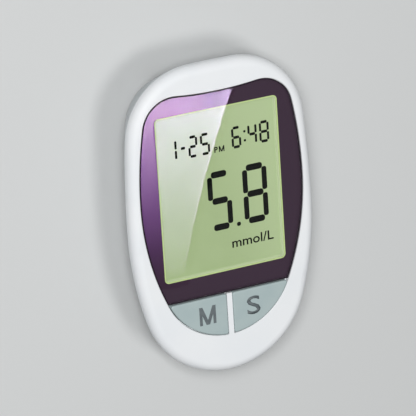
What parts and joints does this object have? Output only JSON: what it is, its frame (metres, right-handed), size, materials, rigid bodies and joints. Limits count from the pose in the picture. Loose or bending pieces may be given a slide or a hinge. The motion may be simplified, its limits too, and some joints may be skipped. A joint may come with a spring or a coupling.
{
  "type": "blood glucose meter",
  "caption": "Hand-held blood glucose meter: shield-shaped case, large display lens over a segment display, press keys at its toe, a test strip port and a battery door.",
  "frame": {"origin": "on the table under the middle of the case, which lies on its back", "axes": "+Z out of the display face, +Y towards the display end, the test strip goes in at the -Y end, +X to the display's right"},
  "size_m": [0.0598, 0.097, 0.0226],
  "materials": {
    "housing": "fine satin, moulded",
    "lens": "polished clear acrylic",
    "mask_print": "dark plum print behind the lens",
    "display_glass": "polished",
    "display_green": "grey-green reflector",
    "key_grey": "satin blue-grey",
    "port_grey": "satin",
    "black_plastic": "matt",
    "elastomer": "soft",
    "board": "green solder mask",
    "chip": "epoxy",
    "chip_ceramic": "sintered",
    "bright_metal": "nickel plated",
    "gold": "gold plated",
    "cell_wrap": "plain printed sleeve",
    "screw_steel": "zinc plated",
    "foot_rubber": "matt"
  },
  "bodies": {
    "case": {"front_housing": "housing", "rear_housing": "housing", "display_lens": "lens", "lens_mask": "mask_print", "lens_tape": "black_plastic", "front_polariser": "display_green", "lcd_front_glass": "display_glass", "lcd_rear_glass": "display_glass", "rear_reflector": "display_green", "lcd_frame": "black_plastic", "lcd_connector": "elastomer", "main_board": "board", "microcontroller": "chip", "memory_chip": "chip", "crystal": "bright_metal", "buzzer": "black_plastic", "passives": "chip_ceramic", "left_switch_case": "bright_metal", "right_switch_case": "bright_metal", "strip_connector": "black_plastic", "strip_contacts": "gold", "strip_port_bezel": "port_grey", "left_battery": "cell_wrap", "right_battery": "cell_wrap", "bridge_contact": "bright_metal", "positive_contact": "bright_metal", "negative_contact": "bright_metal", "cell_springs": "bright_metal", "case_screws": "screw_steel", "rubber_feet": "foot_rubber"},
    "left_key": {"left_button": "key_grey", "left_switch_plunger": "black_plastic"},
    "right_key": {"right_button": "key_grey", "right_switch_plunger": "black_plastic"},
    "door": {"battery_door": "housing"}
  },
  "joints": [
    {"name": "left_key_press", "type": "slide", "parent": "case", "child": "left_key", "axis": [0, 0, -1], "range_m": [0, 0.0005], "stiffness_N_per_m": 1000, "springref_m": -0.0005},
    {"name": "right_key_press", "type": "slide", "parent": "case", "child": "right_key", "axis": [0, 0, -1], "range_m": [0, 0.0005], "stiffness_N_per_m": 1000, "springref_m": -0.0005},
    {"name": "door_swing", "type": "hinge", "parent": "case", "child": "door", "pos_m": [0, 0.0279, 0.0006], "axis": [1, 0, 0], "range_deg": [0, 100]}
  ]
}
